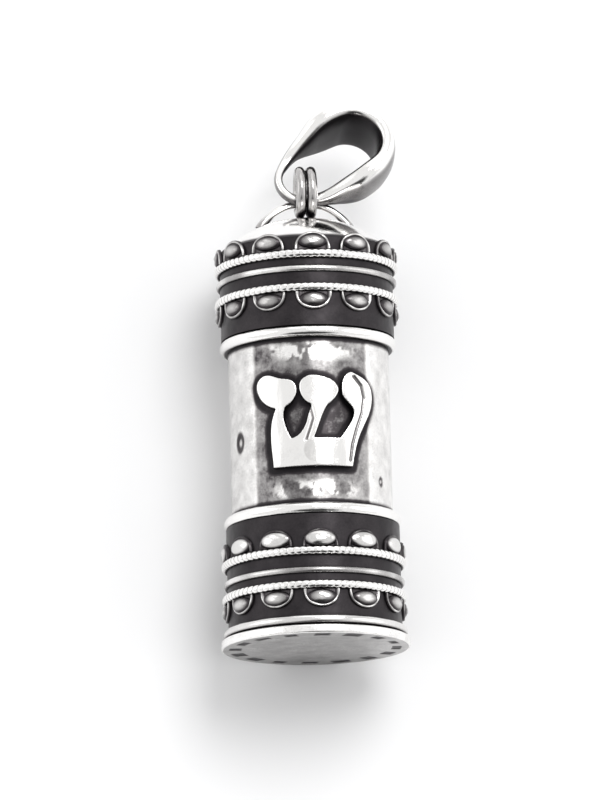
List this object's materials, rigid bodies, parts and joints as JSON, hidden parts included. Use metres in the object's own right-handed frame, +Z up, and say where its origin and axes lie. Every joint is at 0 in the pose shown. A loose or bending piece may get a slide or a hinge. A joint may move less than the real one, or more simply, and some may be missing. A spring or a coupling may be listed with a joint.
{
  "type": "mezuzah case",
  "caption": "Small cylindrical pendant case with a raised letter, beaded wire collars, a pull-off foot, a rolled scroll inside and a bail on a jump ring.",
  "frame": {"origin": "on the supporting surface, under the middle of the overall box of the case lying on its back", "axes": "+Y along the case from the flat foot towards the bail, +Z up through the raised letter, +X to the letter's right as it is read"},
  "size_m": [0.0102, 0.0302, 0.0102],
  "materials": {
    "silver_polished": "polished silver with darkened recesses",
    "silver_oxidised": "oxidised silver, matt dark grey, bright where rubbed",
    "silver_satin": "worn satin silver with fine scratches and specks",
    "parchment": "plain rolled parchment"
  },
  "bodies": {
    "case": {"cap_band": "silver_oxidised", "cap_rim": "silver_polished", "cap_dome": "silver_polished", "cap_ridge_wire": "silver_oxidised", "cap_milgrain_upper": "silver_polished", "cap_scallops_upper": "silver_oxidised", "cap_bosses_upper": "silver_polished", "cap_milgrain_lower": "silver_polished", "cap_scallops_lower": "silver_oxidised", "cap_bosses_lower": "silver_polished", "case_tube": "silver_satin", "shin_letter": "silver_polished", "eye_loop": "silver_polished"},
    "foot": {"foot_band": "silver_oxidised", "foot_rim": "silver_polished", "foot_flange": "silver_polished", "foot_ridge_wire": "silver_oxidised", "foot_milgrain_upper": "silver_polished", "foot_scallops_upper": "silver_oxidised", "foot_bosses_upper": "silver_polished", "foot_milgrain_lower": "silver_polished", "foot_scallops_lower": "silver_oxidised", "foot_bosses_lower": "silver_polished", "base_disc": "silver_satin"},
    "scroll": {"parchment_scroll": "parchment"},
    "ring": {"jump_ring": "silver_polished"},
    "bail": {"bail": "silver_polished"}
  },
  "joints": [
    {"name": "foot_pull", "type": "slide", "parent": "case", "child": "foot", "axis": [0, -1, 0], "range_m": [0, 0.009]},
    {"name": "scroll_slide", "type": "slide", "parent": "case", "child": "scroll", "axis": [0, -1, 0], "range_m": [0, 0.009]},
    {"name": "ring_swing", "type": "hinge", "parent": "case", "child": "ring", "pos_m": [0.00005, 0.0099, 0.00546], "axis": [1, 0, 0], "range_deg": [-60, 0]},
    {"name": "bail_turn", "type": "hinge", "parent": "ring", "child": "bail", "pos_m": [-0.00017, 0.01057, 0.00532], "axis": [0.0498, 0.3057, 0.9508], "range_deg": [0, 116]}
  ],
  "couplings": [
    {"joint": "scroll_slide", "follows": "foot_pull", "ratio": 1}
  ]
}
